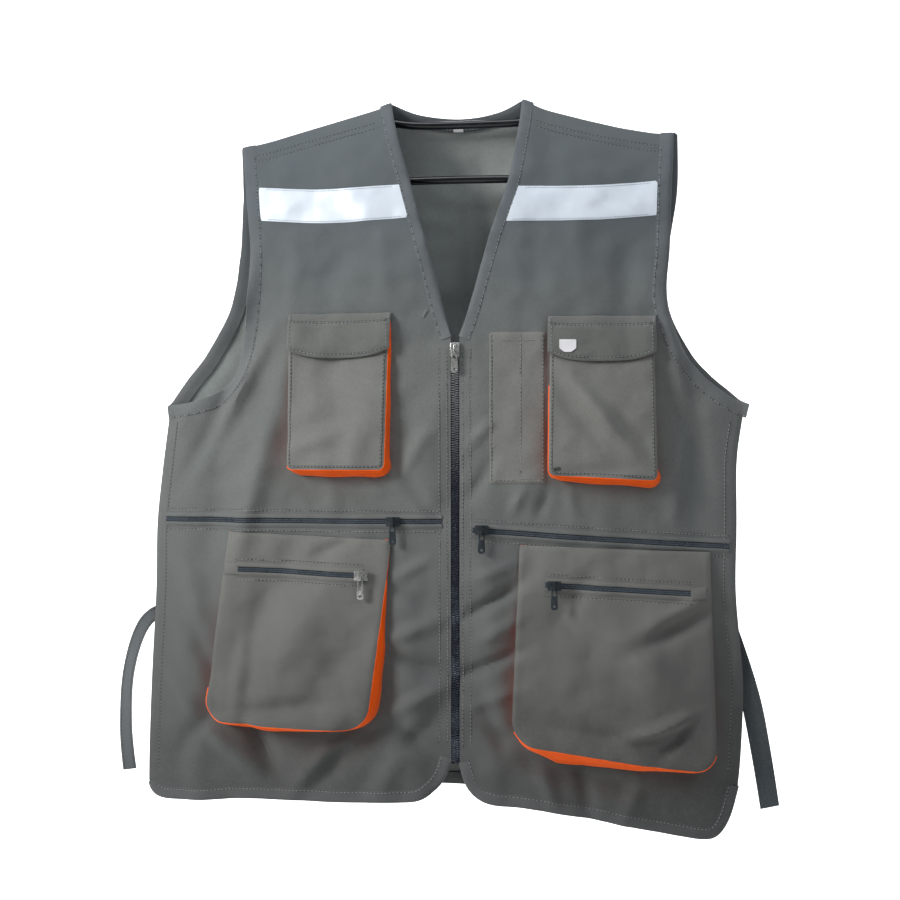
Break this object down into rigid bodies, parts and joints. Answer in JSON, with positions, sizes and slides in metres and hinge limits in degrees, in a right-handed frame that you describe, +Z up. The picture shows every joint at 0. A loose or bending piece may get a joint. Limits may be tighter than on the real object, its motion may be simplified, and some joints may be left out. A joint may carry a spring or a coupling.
{
  "type": "utility work vest on a hanger",
  "caption": "Sleeveless zip-front work vest of grey cloth with reflective chest strips, bellows pockets with orange gussets, zipped seams and side ties, hung on a plain hanger.",
  "frame": {"origin": "middle of the hanger's upper bar, where the hung vest is held", "axes": "+Z up, -Y the front of the vest, +X to the right as one looks at its front"},
  "size_m": [0.6678, 0.1126, 0.722],
  "materials": {
    "vest_cloth": "matte twill",
    "pocket_cloth": "matte twill",
    "binding": "matte twill, stitched",
    "orange_cloth": "matte fluorescent",
    "reflective_tape": "satin reflective",
    "zip_tape": "woven tape",
    "zip_teeth": "satin",
    "dark_metal": "gunmetal",
    "bright_metal": "worn nickel",
    "white_patch": "woven, blank",
    "hanger_black": "gloss"
  },
  "bodies": {
    "root": {"front_panel_left": "vest_cloth", "neck_binding_left": "binding", "armhole_binding_front_left": "binding", "armhole_binding_back_left": "binding", "hem_band_front_left": "binding", "shoulder_yoke_left": "vest_cloth", "reflective_strip_left": "reflective_tape", "chest_pocket_face_left": "pocket_cloth", "chest_pocket_gusset_left": "orange_cloth", "chest_pocket_flap_left": "pocket_cloth", "lower_pocket_face_left": "pocket_cloth", "lower_pocket_gusset_left": "orange_cloth", "yoke_zip_left": "zip_tape", "yoke_zip_slider_left": "dark_metal", "lower_pocket_zip_left": "zip_tape", "lower_pocket_slider_left": "bright_metal", "front_zip_tape_left": "zip_tape", "front_zip_teeth_left": "zip_teeth", "tie_left": "vest_cloth", "front_panel_right": "vest_cloth", "neck_binding_right": "binding", "armhole_binding_front_right": "binding", "armhole_binding_back_right": "binding", "hem_band_front_right": "binding", "shoulder_yoke_right": "vest_cloth", "reflective_strip_right": "reflective_tape", "chest_pocket_face_right": "pocket_cloth", "chest_pocket_gusset_right": "orange_cloth", "chest_pocket_flap_right": "pocket_cloth", "lower_pocket_face_right": "pocket_cloth", "lower_pocket_gusset_right": "orange_cloth", "yoke_zip_right": "zip_tape", "yoke_zip_slider_right": "dark_metal", "lower_pocket_zip_right": "zip_tape", "lower_pocket_slider_right": "dark_metal", "front_zip_tape_right": "zip_tape", "front_zip_teeth_right": "zip_teeth", "tie_right": "vest_cloth", "back_panel_left": "vest_cloth", "back_panel_right": "vest_cloth", "back_neck_binding": "binding", "hem_band_back": "binding", "flap_badge": "white_patch", "neck_label": "white_patch", "pen_pocket": "pocket_cloth", "front_zip_slider": "bright_metal", "hanger": "hanger_black"},
    "front_zip_puller": {"front_zip_puller": "bright_metal"},
    "yoke_zip_puller_left": {"yoke_zip_puller_left": "dark_metal"},
    "yoke_zip_puller_right": {"yoke_zip_puller_right": "dark_metal"},
    "lower_pocket_puller_left": {"lower_pocket_puller_left": "bright_metal"},
    "lower_pocket_puller_right": {"lower_pocket_puller_right": "dark_metal"}
  },
  "joints": [
    {"name": "front_zip_puller_hinge", "type": "hinge", "parent": "root", "child": "front_zip_puller", "pos_m": [0, -0.05477, -0.22995], "axis": [-1, 0, 0], "range_deg": [0, 140]},
    {"name": "yoke_zip_left_puller_hinge", "type": "hinge", "parent": "root", "child": "yoke_zip_puller_left", "pos_m": [-0.06007, -0.0555, -0.39561], "axis": [-1, 0, 0], "range_deg": [0, 140]},
    {"name": "yoke_zip_right_puller_hinge", "type": "hinge", "parent": "root", "child": "yoke_zip_puller_right", "pos_m": [0.02607, -0.05659, -0.40297], "axis": [-1, 0, 0], "range_deg": [0, 140]},
    {"name": "lower_pocket_left_puller_hinge", "type": "hinge", "parent": "root", "child": "lower_pocket_puller_left", "pos_m": [-0.09057, -0.05971, -0.44756], "axis": [-1, 0, 0], "range_deg": [0, 140]},
    {"name": "lower_pocket_right_puller_hinge", "type": "hinge", "parent": "root", "child": "lower_pocket_puller_right", "pos_m": [0.09536, -0.05812, -0.45565], "axis": [-1, 0, 0], "range_deg": [0, 140]}
  ]
}
